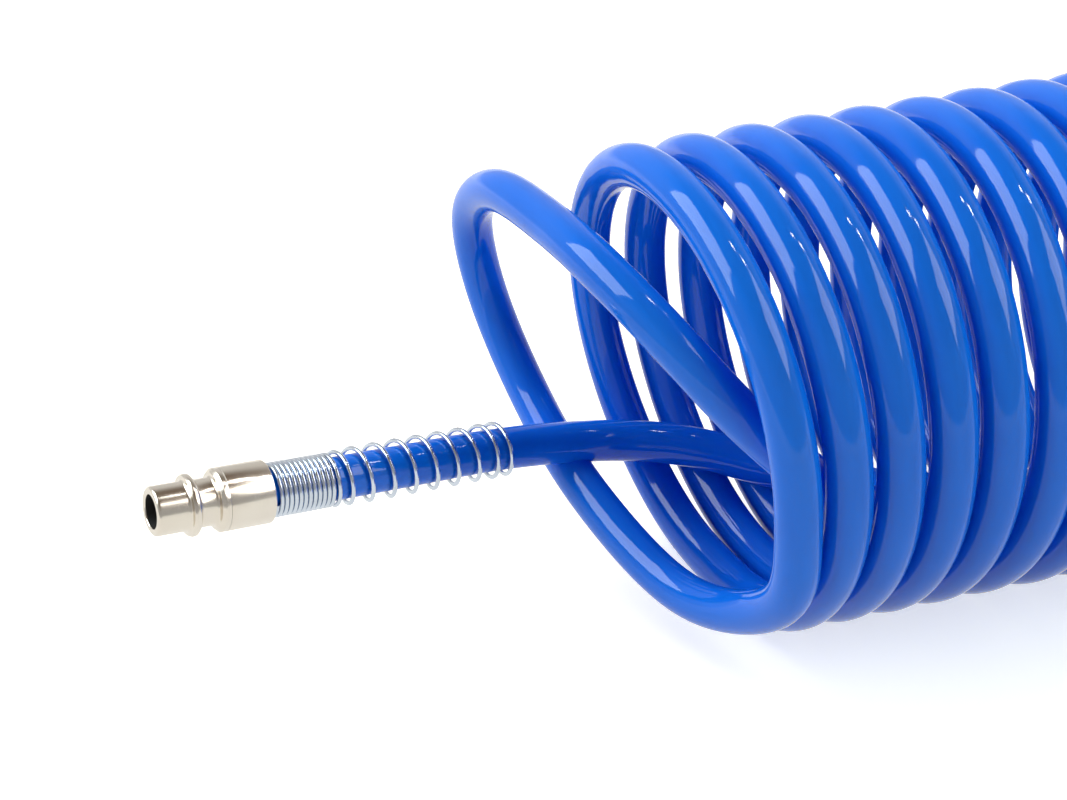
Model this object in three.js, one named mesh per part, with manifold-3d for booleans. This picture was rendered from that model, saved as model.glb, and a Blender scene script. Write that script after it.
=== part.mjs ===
// Coiled air hose with a push-in plug on one end and a quick coupler on the other.
// Millimetres, +Z up, resting on z = 0. The coil's axis runs along X, with the plug on the -X side.
import * as THREE from "three";
import { mergeVertices } from "three/addons/utils/BufferGeometryUtils.js";
import Module from "manifold-3d";

const wasm = await Module();
wasm.setup();

// ---- Driving dimensions ----

const CLEARANCE = 0.3; // left between pieces that touch
const ROUND_SIDES = 24; // facets round a turned piece

// Hose
const HOSE_RADIUS = 4.75;
const TAIL_SIDES = 10;
const TAIL_STEP = 12.5; // length of hose between two rings of a tail

// Coil: y and z trace the circle, and the turns advance along x
const COIL_RADIUS = 49.5; // axis to the hose's centre line
const COIL_PITCH = 11.7;
const FIRST_TURN = 0.74; // counted in turns, whole numbers at the top of the coil
const COIL_TURNS = 13.81;
const COIL_X = -18.9; // where turn 0 would lie
const LEAN_TURNS = 7.3; // turns over which the pulled end stands straight again
const LEAN_UP = 9.2; // how far the tops lean towards the plug there
const LEAN_UP_FAR = 7; // and away from it at the other end
const LEAN_SIDE = 10; // how far the near side leads the far side at the pulled end
const TIGHT_TURN = 5; // this turn has slipped towards the plug
const TIGHT_SLIP = 0.5;
const LOOP_STEPS = 24;
const LOOP_SIDES = 6;
const REST_FLAT = 0.95; // cut off the coil where it rests
const AXIS_Z = COIL_RADIUS + HOSE_RADIUS - REST_FLAT;

// Route of the loose end from the plug's spring to the coil, from the coil's axis, in hundredths of
// the coil's radius
const PLUG_ROUTE = [
  [-39.6, 55.5, -53.2],
  [-17, 53.4, -57],
  [5.4, 48.1, -62],
  [24.1, 41.2, -68.1],
  [43.5, 32, -73.9],
  [65.5, 20.6, -75.3],
  [84, -8.9, -71.9],
  [75.1, -50.5, -52.3],
  [28.5, -71.6, -16.8],
  [-11.1, -68.3, 26.9],
  [-34.3, -51, 56.8],
  [-52.9, -14.8, 74.8],
  [-63, 30.3, 75.8],
  [-73.9, 84.6, 68.3],
  [-78.6, 123.4, 38],
  [-73.9, 125.7, -3.8],
  [-63.1, 93, -44.8],
  [-51.1, 38.4, -67.8],
  [-25.6, -33.3, -83],
  [-4.3, -81.9, -59.5],
];

// Plug: its nose, placed as the route is, and the way its axis runs back to the hose
const PLUG_NOSE = [-244.5, 1.7, -11.8];
const PLUG_TURN = 16; // degrees about +Z from +X
const PLUG_DIP = 10.5; // degrees below level, going back along the hose
const PLUG_BORE = 3.6;
const NOSE_RADIUS = 5.25;
const NOSE_LENGTH = 6.15;
const COLLAR_RADIUS = 6.65;
const COLLAR_LENGTH = 3.4;
const NECK_RADIUS = 5.1;
const NECK_LENGTH = 3;
const SHOULDER_RADIUS = 6.8;
const SHOULDER_LENGTH = 2.6;
const EDGE_ROUND = 0.6;

// Hose barb and the ferrule pressed round it, the same at both ends
const BARB_BORE = 2.2;
const BARB_RADIUS = 3.3;
const BARB_RIDGE = 0.25; // how far each ridge rises from the barb's root
const BARB_PITCH = 2.6;
const BARB_RIDGES = 4;
const BARB_LAND = 1; // plain length before the first ridge
const BARB_STEP = 0.2; // length of each ridge's steep side
const FERRULE_LENGTH = 9.7;
const FERRULE_WALL = 1.75;
const FERRULE_WEB = 1.2;
const FERRULE_CHAMFER = 0.4;

// Guard spring, the same at both ends
const WIRE_RADIUS = 0.32;
const TIGHT_RISE = 1.2; // of its outside from the hose
const TIGHT_OUTER_RADIUS = HOSE_RADIUS + TIGHT_RISE;
const TIGHT_PITCH = 1.08;
const TIGHT_CURLS = 12.4;
const OPEN_RISE = 0.47; // beyond the tight curls
const OPEN_OUTER_RADIUS = TIGHT_OUTER_RADIUS + OPEN_RISE;
const OPEN_PITCH = 5.2;
const WIDEN_CURLS = 2.4; // curls over which it opens out
const OPEN_CURLS = 8.3; // these included
const LAST_PITCH = 3.4;
const LAST_CURLS = 1.25;
const FIRST_CURL_ANGLE = 95; // degrees from the top, towards the near side, where the wire starts
const CURL_STEPS = 8;
const WIRE_SIDES = 5;

// Coupler, with lengths counted back from its mouth
const COLLAR_ROOM = 0.25; // round the plug's collar
const MOUTH_BORE = COLLAR_RADIUS + COLLAR_ROOM;
const NOSE_BORE = NOSE_RADIUS + CLEARANCE;
const NOSE_BORE_START = 11.4;
const VALVE_SEAT = 21;
const VALVE_CHAMBER = 7;
const MOUTH_CHAMFER = 0.7;
const BODY_WALL = 2.3; // round the mouth
const BODY_FRONT_RADIUS = MOUTH_BORE + BODY_WALL;
const FLANGE_RISE = 2.1;
const BODY_FLANGE_RADIUS = BODY_FRONT_RADIUS + FLANGE_RISE;
const BODY_FLANGE_START = 23;
const BODY_CHAMFER = 0.5;
const SOCKET_RADIUS = 8.2;
const SOCKET_START = 27;
const NOSE_TAPER = 0.8; // length of the step from the mouth bore to the nose bore
const BALL_COUNT = 6;
const BALL_RADIUS = 1.6;
const BALL_SIDES = 10;
const BALL_PLACE = 5.8;
const SLEEVE_TRAVEL = 4;
const BALL_TRAVEL = 1;
const SLEEVE_WALL = 1.4;
const SLEEVE_RADIUS = BODY_FLANGE_RADIUS + CLEARANCE + SLEEVE_WALL;
const SLEEVE_START = 0.2;
const SLEEVE_LIP = 3;
const SLEEVE_FRONT_ROOM = 1.8; // round the body's front
const SLEEVE_FRONT_BORE = BODY_FRONT_RADIUS + SLEEVE_FRONT_ROOM;
const SLEEVE_SHOULDER = 13;
const SLEEVE_END = 28;
const SLEEVE_CHAMFER = 0.8;
const RING_START = 1.3;
const RING_WIDTH = 1.1;
const RING_DEPTH = 0.6; // of its groove in the body
const RING_RISE = 1.5; // and out of the body
const RING_OUTER_RADIUS = BODY_FRONT_RADIUS + RING_RISE;
const SLEEVE_SPRING_WIRE = 0.45;
const SLEEVE_SPRING_CURLS = 3.5;
const NOSE_SEAL_START = 13.2;
const NOSE_SEAL_WIDTH = 2.2;
const NOSE_SEAL_DEPTH = 1.3;
const NOSE_SEAL_ROOM = 0.05; // round the nose
const POPPET_FRONT = 13.6;
const POPPET_TUBE_RADIUS = 4.7;
const POPPET_TUBE_BORE = 3.3;
const POPPET_DISC_RADIUS = 6.5;
const POPPET_DISC_WIDTH = 1.8;
const POPPET_FLOOR = 0.5; // of its tube, ahead of the disc
const POPPET_STEM_RADIUS = 2.2;
const POPPET_STEM_LENGTH = 3.2;
const POPPET_WINDOWS = 4;
const WINDOW_WIDTH = 2.6;
const WINDOW_LENGTH = 3.4;
const WINDOW_SILL = 0.6;
const VALVE_SEAL_WIDTH = 1;
const VALVE_SPRING_WIRE = 0.35;
const VALVE_SPRING_RADIUS = 4.6;
const VALVE_SPRING_CURLS = 4.5;
const VALVE_SPRING_LENGTH = 9.6;
const ADAPTER_FLOOR = 3; // behind the valve spring, to the body's rear face
const ADAPTER_BORE = 5.6;
const ADAPTER_SEAL_WIDTH = 1.6;
const ADAPTER_SEAL_DEPTH = 1.1;
const ADAPTER_SEAL_INSET = 1; // from the body's rear face
const HEX_ACROSS_FLATS = 19;
const HEX_LENGTH = 6;
const COUPLER_AXIS_Z = SLEEVE_RADIUS;
const LEAD_OUT = 42; // how far past the coil's end the straight hose to the coupler starts
const LEAD_SIDE = 31.5; // and how far it lies to the near side
const LEAD_BEND = [11.8, -14.3, 2.5]; // one point of the bend between, from the coil's end

// ---- Materials ----

const finish = (color, roughness, metalness) =>
  new THREE.MeshStandardMaterial({ color, roughness, metalness });
const HOSE_BLUE = finish(0x1a5fd6, 0.22, 0);
const NICKEL = finish(0xcfc4b2, 0.22, 1);
const WIRE = finish(0xc3c8cd, 0.25, 1);
const STEEL = finish(0xb4b7ba, 0.2, 1);
const BRASS = finish(0xbf9a55, 0.3, 1);
const SEAL = finish(0x1c1c1e, 0.7, 0);

// ---- Building blocks ----

const vec = ([x, y, z]) => new THREE.Vector3(x, y, z);

function solidOf(geometry) {
  const bare = geometry.index ? geometry.toNonIndexed() : geometry.clone();
  bare.deleteAttribute("normal");
  bare.deleteAttribute("uv");
  const merged = mergeVertices(bare, 1e-3);
  return new wasm.Manifold(
    new wasm.Mesh({
      numProp: 3,
      vertProperties: merged.attributes.position.array,
      triVerts: new Uint32Array(merged.index.array),
    }),
  );
}

function geometryOf(solid) {
  const mesh = solid.getMesh();
  const geometry = new THREE.BufferGeometry();
  geometry.setAttribute("position", new THREE.BufferAttribute(mesh.vertProperties, 3));
  geometry.setIndex(new THREE.BufferAttribute(mesh.triVerts, 1));
  const flat = geometry.toNonIndexed();
  flat.computeVertexNormals();
  return flat;
}

const cut = (geometry, tools) =>
  geometryOf(tools.reduce((solid, tool) => solid.subtract(solidOf(tool)), solidOf(geometry)));

function piece(name, geometry, material) {
  const mesh = new THREE.Mesh(geometry, material);
  mesh.name = name;
  return mesh;
}

// A closed outline of [distance along, radius] pairs turned about X. Listed with the outside first,
// going along +X, then back through the bore.
function turned(outline) {
  const points = [...outline, outline[0]].map(([along, radius]) => new THREE.Vector2(radius, along));
  return new THREE.LatheGeometry(points, ROUND_SIDES).rotateZ(-Math.PI / 2);
}

// A tube of rings of points round a path, closed at both ends. Rings turn as little as they can.
function sweep(path, radius, sides) {
  const rings = [];
  const tangent = new THREE.Vector3();
  let normal = null;
  path.forEach((point, i) => {
    tangent.subVectors(path[Math.min(i + 1, path.length - 1)], path[Math.max(i - 1, 0)]).normalize();
    if (!normal) {
      const helper = Math.abs(tangent.z) < 0.9 ? new THREE.Vector3(0, 0, 1) : new THREE.Vector3(1, 0, 0);
      normal = new THREE.Vector3().crossVectors(tangent, helper);
    }
    normal.addScaledVector(tangent, -normal.dot(tangent)).normalize();
    const side = new THREE.Vector3().crossVectors(tangent, normal);
    for (let k = 0; k < sides; k += 1) {
      const angle = (2 * Math.PI * (k + 0.5)) / sides;
      rings.push(
        point.clone()
          .addScaledVector(normal, radius * Math.cos(angle))
          .addScaledVector(side, radius * Math.sin(angle)),
      );
    }
  });
  const faces = [];
  for (let i = 0; i < path.length - 1; i += 1) {
    for (let k = 0; k < sides; k += 1) {
      const a = i * sides + k;
      const b = i * sides + ((k + 1) % sides);
      faces.push(a, b, a + sides, b, b + sides, a + sides);
    }
  }
  const last = (path.length - 1) * sides;
  for (let k = 1; k < sides - 1; k += 1) {
    faces.push(0, k + 1, k, last, last + k, last + k + 1);
  }
  const geometry = new THREE.BufferGeometry().setFromPoints(rings);
  geometry.setIndex(faces);
  return geometry;
}

// The least gap between a wound tube's wall and itself, over points more than half a turn apart.
function leastGap(path, radius, stepsPerTurn) {
  let least = Infinity;
  for (let i = 0; i < path.length; i += 1) {
    for (let j = i + Math.ceil(stepsPerTurn / 2); j < path.length - 1; j += 1) {
      const line = new THREE.Line3(path[j], path[j + 1]);
      const near = line.closestPointToPoint(path[i], true, new THREE.Vector3());
      least = Math.min(least, near.distanceTo(path[i]) - 2 * radius);
    }
  }
  return least;
}

const report = (name, gap) => console.log(`${name}: least gap to itself ${gap.toFixed(2)} mm`);

// ---- Coil ----

function coilPoint(turn) {
  const straighten = Math.exp(-(turn - 1) / LEAN_TURNS);
  const angle = 2 * Math.PI * turn;
  const lean = (LEAN_UP_FAR - LEAN_UP * straighten) * Math.cos(angle);
  const lead = -LEAN_SIDE * straighten * Math.sin(angle);
  const slip = TIGHT_SLIP * Math.max(0, 1 - Math.abs(turn - TIGHT_TURN));
  return new THREE.Vector3(
    COIL_X + COIL_PITCH * turn + lean + lead - slip,
    COIL_RADIUS * Math.sin(angle),
    AXIS_Z + COIL_RADIUS * Math.cos(angle),
  );
}

const LAST_TURN = FIRST_TURN + COIL_TURNS;
const coilDirection = (turn) => coilPoint(turn + 0.01).sub(coilPoint(turn - 0.01)).normalize();
const COIL_START = coilPoint(FIRST_TURN);
const COIL_START_WAY = coilDirection(FIRST_TURN);
const COIL_END = coilPoint(LAST_TURN);
const COIL_END_WAY = coilDirection(LAST_TURN);
const ahead = (point, way, distance) => point.clone().addScaledVector(way, distance);

// A place given in hundredths of the coil's radius from its axis.
const fromCoilAxis = (share) =>
  vec(share).multiplyScalar(COIL_RADIUS / 100).add(new THREE.Vector3(0, 0, AXIS_Z));

function coil() {
  const straight = 2 * HOSE_RADIUS;
  const path = [ahead(COIL_START, COIL_START_WAY, -straight)];
  const steps = COIL_TURNS * LOOP_STEPS;
  for (let i = 0; i <= steps; i += 1) {
    path.push(coilPoint(FIRST_TURN + i / LOOP_STEPS));
  }
  path.push(ahead(COIL_END, COIL_END_WAY, straight));
  report("hose_coil", leastGap(path, HOSE_RADIUS, LOOP_STEPS));
  const floorSide = 4 * COIL_PITCH * COIL_TURNS;
  const below = new THREE.BoxGeometry(floorSide, floorSide, COIL_RADIUS);
  below.translate(COIL_X + COIL_PITCH * COIL_TURNS / 2, 0, -COIL_RADIUS / 2);
  return piece("hose_coil", cut(sweep(path, HOSE_RADIUS, LOOP_SIDES), [below]), HOSE_BLUE);
}

// ---- Hose ends ----

// How far along the guard spring its wire has come after so many curls.
function wireAlong(curl) {
  const open = Math.max(0, curl - TIGHT_CURLS);
  const last = Math.max(0, open - OPEN_CURLS);
  const widening = Math.min(open, WIDEN_CURLS);
  const widened = open - last - widening;
  const rise = (OPEN_PITCH - TIGHT_PITCH) * (widening * widening / (2 * WIDEN_CURLS) + widened);
  return TIGHT_PITCH * (curl - last) + rise + LAST_PITCH * last;
}

const FERRULE_SEAT = CLEARANCE; // from the face that the ferrule meets
const HOSE_SEAT = FERRULE_SEAT + FERRULE_WEB + CLEARANCE;
const BARB_LENGTH = HOSE_SEAT + BARB_LAND + BARB_PITCH * BARB_RIDGES;
const SPRING_SEAT = FERRULE_SEAT + FERRULE_LENGTH + CLEARANCE;
const WIRE_TURNS = TIGHT_CURLS + OPEN_CURLS + LAST_CURLS;
const SPRING_LENGTH = wireAlong(WIRE_TURNS) + 2 * WIRE_RADIUS;
const HELD_LENGTH = SPRING_SEAT + SPRING_LENGTH; // straight hose from the fitting's face
const SPRING_SHARES = [0.35, 0.7]; // where the hose's route has points inside the spring

// The barb's outline behind a fitting's face: out along its ridges, without the way back.
function barbOutline(face) {
  const root = BARB_RADIUS - BARB_RIDGE;
  const points = [[face, root]];
  for (let i = 0; i < BARB_RIDGES; i += 1) {
    const start = face + HOSE_SEAT + BARB_LAND + BARB_PITCH * i;
    points.push([start, root], [start + BARB_STEP, BARB_RADIUS]);
  }
  points.push([face + BARB_LENGTH, root]);
  return points;
}

// Ferrule and guard spring, in a frame whose X runs back along the hose from the fitting's face.
function ferrule(name) {
  const start = FERRULE_SEAT;
  const end = start + FERRULE_LENGTH;
  const inner = HOSE_RADIUS + CLEARANCE;
  const outer = inner + FERRULE_WALL;
  const outline = [
    [start, outer - FERRULE_CHAMFER],
    [start + FERRULE_CHAMFER, outer],
    [end - FERRULE_CHAMFER / 2, outer],
    [end, outer - FERRULE_CHAMFER / 2],
    [end, inner],
    [start + FERRULE_WEB, inner],
    [start + FERRULE_WEB, BARB_RADIUS + CLEARANCE],
    [start, BARB_RADIUS + CLEARANCE],
  ];
  return piece(name, turned(outline), NICKEL);
}

function guardSpring(name) {
  const path = [];
  const steps = Math.round(WIRE_TURNS * CURL_STEPS);
  for (let i = 0; i <= steps; i += 1) {
    const curl = i / CURL_STEPS;
    const widen = THREE.MathUtils.clamp((curl - TIGHT_CURLS) / WIDEN_CURLS, 0, 1);
    const along = SPRING_SEAT + WIRE_RADIUS + wireAlong(curl);
    const radius = TIGHT_OUTER_RADIUS + (OPEN_OUTER_RADIUS - TIGHT_OUTER_RADIUS) * widen - WIRE_RADIUS;
    const angle = THREE.MathUtils.degToRad(FIRST_CURL_ANGLE) + 2 * Math.PI * curl;
    path.push(new THREE.Vector3(along, -radius * Math.sin(angle), radius * Math.cos(angle)));
  }
  report(name, leastGap(path, WIRE_RADIUS, CURL_STEPS));
  return piece(name, sweep(path, WIRE_RADIUS, WIRE_SIDES), WIRE);
}

// A stretch of hose through points, with a blind bore for the barb at its first end.
function tail(name, points, firstWay) {
  const curve = new THREE.CatmullRomCurve3(points, false, "centripetal");
  const steps = Math.round(curve.getLength() / TAIL_STEP);
  const section = new THREE.Shape();
  for (let k = 0; k < TAIL_SIDES; k += 1) {
    const angle = (2 * Math.PI * k) / TAIL_SIDES;
    section[k ? "lineTo" : "moveTo"](HOSE_RADIUS * Math.cos(angle), HOSE_RADIUS * Math.sin(angle));
  }
  section.closePath();
  const tube = new THREE.ExtrudeGeometry(section, { steps, extrudePath: curve, curveSegments: 1 });
  const depth = BARB_LENGTH - HOSE_SEAT + CLEARANCE;
  const bore = new THREE.CylinderGeometry(BARB_RADIUS + CLEARANCE, BARB_RADIUS + CLEARANCE, 2 * depth, 12);
  bore.applyQuaternion(new THREE.Quaternion().setFromUnitVectors(new THREE.Vector3(0, 1, 0), firstWay));
  bore.translate(points[0].x, points[0].y, points[0].z);
  return piece(name, cut(tube, [bore]), HOSE_BLUE);
}

// ---- Plug ----

const NECK_START = NOSE_LENGTH + COLLAR_LENGTH;
const SHOULDER_START = NECK_START + NECK_LENGTH;
const PLUG_FACE = SHOULDER_START + SHOULDER_LENGTH; // where the ferrule starts
const plugFrame = new THREE.Group();
plugFrame.position.copy(fromCoilAxis(PLUG_NOSE));
plugFrame.rotation.set(0, THREE.MathUtils.degToRad(PLUG_DIP), THREE.MathUtils.degToRad(PLUG_TURN), "ZYX");
plugFrame.updateMatrixWorld(true);
const PLUG_WAY = new THREE.Vector3(1, 0, 0).transformDirection(plugFrame.matrixWorld);
const onPlugAxis = (distance) => ahead(plugFrame.position, PLUG_WAY, distance);

function plugBody() {
  const outline = [
    [0, PLUG_BORE + EDGE_ROUND],
    [0, NOSE_RADIUS - EDGE_ROUND],
    [EDGE_ROUND * 0.3, NOSE_RADIUS - EDGE_ROUND * 0.3],
    [EDGE_ROUND, NOSE_RADIUS],
    [NOSE_LENGTH, NOSE_RADIUS],
    [NOSE_LENGTH + COLLAR_LENGTH * 0.35, COLLAR_RADIUS - EDGE_ROUND * 0.25],
    [NOSE_LENGTH + COLLAR_LENGTH * 0.55, COLLAR_RADIUS],
    [NOSE_LENGTH + COLLAR_LENGTH * 0.75, COLLAR_RADIUS - EDGE_ROUND * 0.35],
    [NECK_START, NECK_RADIUS],
    [SHOULDER_START, NECK_RADIUS],
    [SHOULDER_START + EDGE_ROUND, SHOULDER_RADIUS - EDGE_ROUND * 0.5],
    [SHOULDER_START + EDGE_ROUND * 2, SHOULDER_RADIUS],
    [PLUG_FACE - EDGE_ROUND * 0.5, SHOULDER_RADIUS],
    [PLUG_FACE, SHOULDER_RADIUS - EDGE_ROUND * 0.5],
    ...barbOutline(PLUG_FACE),
    [PLUG_FACE + BARB_LENGTH, BARB_BORE],
    [PLUG_FACE, BARB_BORE],
    [PLUG_FACE - (PLUG_BORE - BARB_BORE), PLUG_BORE],
    [EDGE_ROUND, PLUG_BORE],
  ];
  return piece("plug_body", turned(outline), NICKEL);
}

function plugEnd() {
  const fittings = new THREE.Group();
  fittings.position.x = PLUG_FACE;
  fittings.add(ferrule("plug_ferrule"), guardSpring("plug_guard_spring"));
  plugFrame.add(plugBody(), fittings);
  return plugFrame;
}

function plugTail() {
  const join = 2 * HOSE_RADIUS + CLEARANCE;
  const route = [
    onPlugAxis(PLUG_FACE + HOSE_SEAT),
    onPlugAxis(PLUG_FACE + SPRING_SEAT),
    ...SPRING_SHARES.map((share) => onPlugAxis(PLUG_FACE + SPRING_SEAT + SPRING_LENGTH * share)),
    onPlugAxis(PLUG_FACE + HELD_LENGTH),
    ...PLUG_ROUTE.map(fromCoilAxis),
    ahead(COIL_START, COIL_START_WAY, -join - HOSE_RADIUS),
    ahead(COIL_START, COIL_START_WAY, -join),
  ];
  return tail("hose_tail_plug", route, PLUG_WAY);
}

// ---- Coupler ----

const POPPET_DISC_START = VALVE_SEAT + CLEARANCE + VALVE_SEAL_WIDTH + CLEARANCE;
const POPPET_DISC_END = POPPET_DISC_START + POPPET_DISC_WIDTH;
const BODY_LENGTH = POPPET_DISC_END + VALVE_SPRING_LENGTH + ADAPTER_FLOOR;
const HEX_START = BODY_LENGTH + CLEARANCE;
const COUPLER_FACE = HEX_START + HEX_LENGTH;
const COUPLER_BACK = COUPLER_FACE + HELD_LENGTH;
const COUPLER_START = new THREE.Vector3(
  COIL_END.x + LEAD_OUT,
  COIL_END.y - LEAD_SIDE,
  COUPLER_AXIS_Z,
);
const MOUTH_X = COUPLER_START.x + COUPLER_BACK;
const BALL_CENTRE = BODY_FRONT_RADIUS - BALL_RADIUS; // each ball stands into the mouth bore
const LAND_RADIUS = BODY_FRONT_RADIUS + CLEARANCE;

// Outlines in the coupler's frame: X runs back from the mouth.
function couplerBody() {
  const groove = BODY_FRONT_RADIUS - RING_DEPTH;
  const outline = [
    [0, MOUTH_BORE + MOUTH_CHAMFER],
    [0, BODY_FRONT_RADIUS - BODY_CHAMFER],
    [BODY_CHAMFER, BODY_FRONT_RADIUS],
    [RING_START - CLEARANCE, BODY_FRONT_RADIUS],
    [RING_START - CLEARANCE, groove],
    [RING_START + RING_WIDTH + CLEARANCE, groove],
    [RING_START + RING_WIDTH + CLEARANCE, BODY_FRONT_RADIUS],
    [BODY_FLANGE_START, BODY_FRONT_RADIUS],
    [BODY_FLANGE_START, BODY_FLANGE_RADIUS],
    [BODY_LENGTH - BODY_CHAMFER, BODY_FLANGE_RADIUS],
    [BODY_LENGTH, BODY_FLANGE_RADIUS - BODY_CHAMFER],
    [BODY_LENGTH, SOCKET_RADIUS],
    [SOCKET_START, SOCKET_RADIUS],
    [SOCKET_START, VALVE_CHAMBER],
    [VALVE_SEAT, VALVE_CHAMBER],
    [VALVE_SEAT, NOSE_BORE],
    [NOSE_SEAL_START + NOSE_SEAL_WIDTH, NOSE_BORE],
    [NOSE_SEAL_START + NOSE_SEAL_WIDTH, NOSE_BORE + NOSE_SEAL_DEPTH],
    [NOSE_SEAL_START, NOSE_BORE + NOSE_SEAL_DEPTH],
    [NOSE_SEAL_START, NOSE_BORE],
    [NOSE_BORE_START + NOSE_TAPER, NOSE_BORE],
    [NOSE_BORE_START, MOUTH_BORE],
    [MOUTH_CHAMFER, MOUTH_BORE],
  ];
  const body = turned(outline);
  const holes = ballAngles().map((angle) => {
    const radius = BALL_RADIUS + CLEARANCE;
    const length = 2 * (BODY_FRONT_RADIUS - MOUTH_BORE);
    const hole = new THREE.CylinderGeometry(radius, radius, length, BALL_SIDES);
    hole.translate(0, (BODY_FRONT_RADIUS + MOUTH_BORE) / 2, 0);
    hole.rotateX(angle);
    hole.translate(BALL_PLACE, 0, 0);
    return hole;
  });
  return piece("coupler_body", cut(body, holes), NICKEL);
}

const ballAngles = () => Array.from({ length: BALL_COUNT }, (_, i) => (2 * Math.PI * i) / BALL_COUNT);

function lockingBalls() {
  return ballAngles().map((angle, i) => {
    const ball = new THREE.SphereGeometry(BALL_RADIUS, BALL_SIDES, 6);
    ball.translate(0, BALL_CENTRE, 0);
    ball.rotateX(angle);
    ball.translate(BALL_PLACE, 0, 0);
    return piece(`locking_ball_${i + 1}`, ball, STEEL);
  });
}

function couplerSleeve() {
  const slope = BALL_TRAVEL / SLEEVE_TRAVEL;
  const springBore = BODY_FLANGE_RADIUS + CLEARANCE;
  const outline = [
    [SLEEVE_START, SLEEVE_RADIUS - SLEEVE_CHAMFER],
    [SLEEVE_START + SLEEVE_CHAMFER, SLEEVE_RADIUS],
    [SLEEVE_END - SLEEVE_CHAMFER, SLEEVE_RADIUS],
    [SLEEVE_END, SLEEVE_RADIUS - SLEEVE_CHAMFER],
    [SLEEVE_END, springBore],
    [SLEEVE_SHOULDER, springBore],
    [SLEEVE_SHOULDER, LAND_RADIUS],
    [BALL_PLACE, LAND_RADIUS],
    [SLEEVE_LIP, LAND_RADIUS + slope * (BALL_PLACE - SLEEVE_LIP)],
    [SLEEVE_LIP, SLEEVE_FRONT_BORE],
    [SLEEVE_START, SLEEVE_FRONT_BORE],
  ];
  return piece("coupler_sleeve", turned(outline), NICKEL);
}

function ringPiece(name, start, width, inner, outer, material) {
  const edge = Math.min(width, outer - inner) * 0.25;
  const outline = [
    [start, outer - edge],
    [start + edge, outer],
    [start + width - edge, outer],
    [start + width, outer - edge],
    [start + width, inner],
    [start, inner],
  ];
  return piece(name, turned(outline), material);
}

function innerSpring(name, start, length, radius, wire, curls) {
  const path = [];
  const steps = Math.round(curls * CURL_STEPS);
  for (let i = 0; i <= steps; i += 1) {
    const angle = (2 * Math.PI * i) / CURL_STEPS;
    const along = start + wire + ((length - 2 * wire) * i) / steps;
    path.push(new THREE.Vector3(along, radius * Math.sin(angle), radius * Math.cos(angle)));
  }
  return piece(name, sweep(path, wire, 4), WIRE);
}

function valvePoppet() {
  const outline = [
    [POPPET_FRONT, POPPET_TUBE_RADIUS],
    [POPPET_DISC_START, POPPET_TUBE_RADIUS],
    [POPPET_DISC_START, POPPET_DISC_RADIUS],
    [POPPET_DISC_END, POPPET_DISC_RADIUS],
    [POPPET_DISC_END, POPPET_STEM_RADIUS],
    [POPPET_DISC_END + POPPET_STEM_LENGTH, POPPET_STEM_RADIUS],
    [POPPET_DISC_END + POPPET_STEM_LENGTH, 0],
    [POPPET_DISC_START - POPPET_FLOOR, 0],
    [POPPET_DISC_START - POPPET_FLOOR, POPPET_TUBE_BORE],
    [POPPET_FRONT, POPPET_TUBE_BORE],
  ];
  const windows = Array.from({ length: POPPET_WINDOWS / 2 }, (_, i) => {
    const slot = new THREE.BoxGeometry(WINDOW_LENGTH, 3 * POPPET_TUBE_RADIUS, WINDOW_WIDTH);
    slot.translate(POPPET_DISC_START - POPPET_FLOOR - WINDOW_SILL - WINDOW_LENGTH / 2, 0, 0);
    return slot.rotateX((2 * Math.PI * i) / POPPET_WINDOWS);
  });
  return piece("valve_poppet", cut(turned(outline), windows), BRASS);
}

const SPIGOT_RADIUS = SOCKET_RADIUS - CLEARANCE;
const ADAPTER_SEAL_START = BODY_LENGTH - ADAPTER_SEAL_INSET - ADAPTER_SEAL_WIDTH - CLEARANCE;

function couplerAdapter() {
  const spigot = SPIGOT_RADIUS;
  const front = SOCKET_START + CLEARANCE;
  const springSeat = POPPET_DISC_END + 2 * CLEARANCE + VALVE_SPRING_LENGTH;
  const grooveEnd = ADAPTER_SEAL_START + ADAPTER_SEAL_WIDTH + CLEARANCE;
  const spigotOutline = [
    [front, spigot],
    [ADAPTER_SEAL_START - CLEARANCE, spigot],
    [ADAPTER_SEAL_START - CLEARANCE, spigot - ADAPTER_SEAL_DEPTH],
    [grooveEnd, spigot - ADAPTER_SEAL_DEPTH],
    [grooveEnd, spigot],
    [HEX_START + HEX_LENGTH / 2, spigot],
    [HEX_START + HEX_LENGTH / 2, BARB_RADIUS],
    ...barbOutline(COUPLER_FACE),
    [COUPLER_FACE + BARB_LENGTH, BARB_BORE],
    [springSeat, BARB_BORE],
    [springSeat, ADAPTER_BORE],
    [front, ADAPTER_BORE],
  ];
  const hexRadius = HEX_ACROSS_FLATS / Math.sqrt(3);
  const hex = new THREE.CylinderGeometry(hexRadius, hexRadius, HEX_LENGTH, 6);
  hex.rotateZ(Math.PI / 2).translate(HEX_START + HEX_LENGTH / 2, 0, 0);
  const bore = new THREE.CylinderGeometry(BARB_BORE, BARB_BORE, 2 * HEX_LENGTH, ROUND_SIDES);
  bore.rotateZ(Math.PI / 2).translate(HEX_START + HEX_LENGTH / 2, 0, 0);
  const core = solidOf(turned(spigotOutline)).add(solidOf(hex).subtract(solidOf(bore)));
  return piece("coupler_adapter", geometryOf(core), NICKEL);
}

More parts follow.
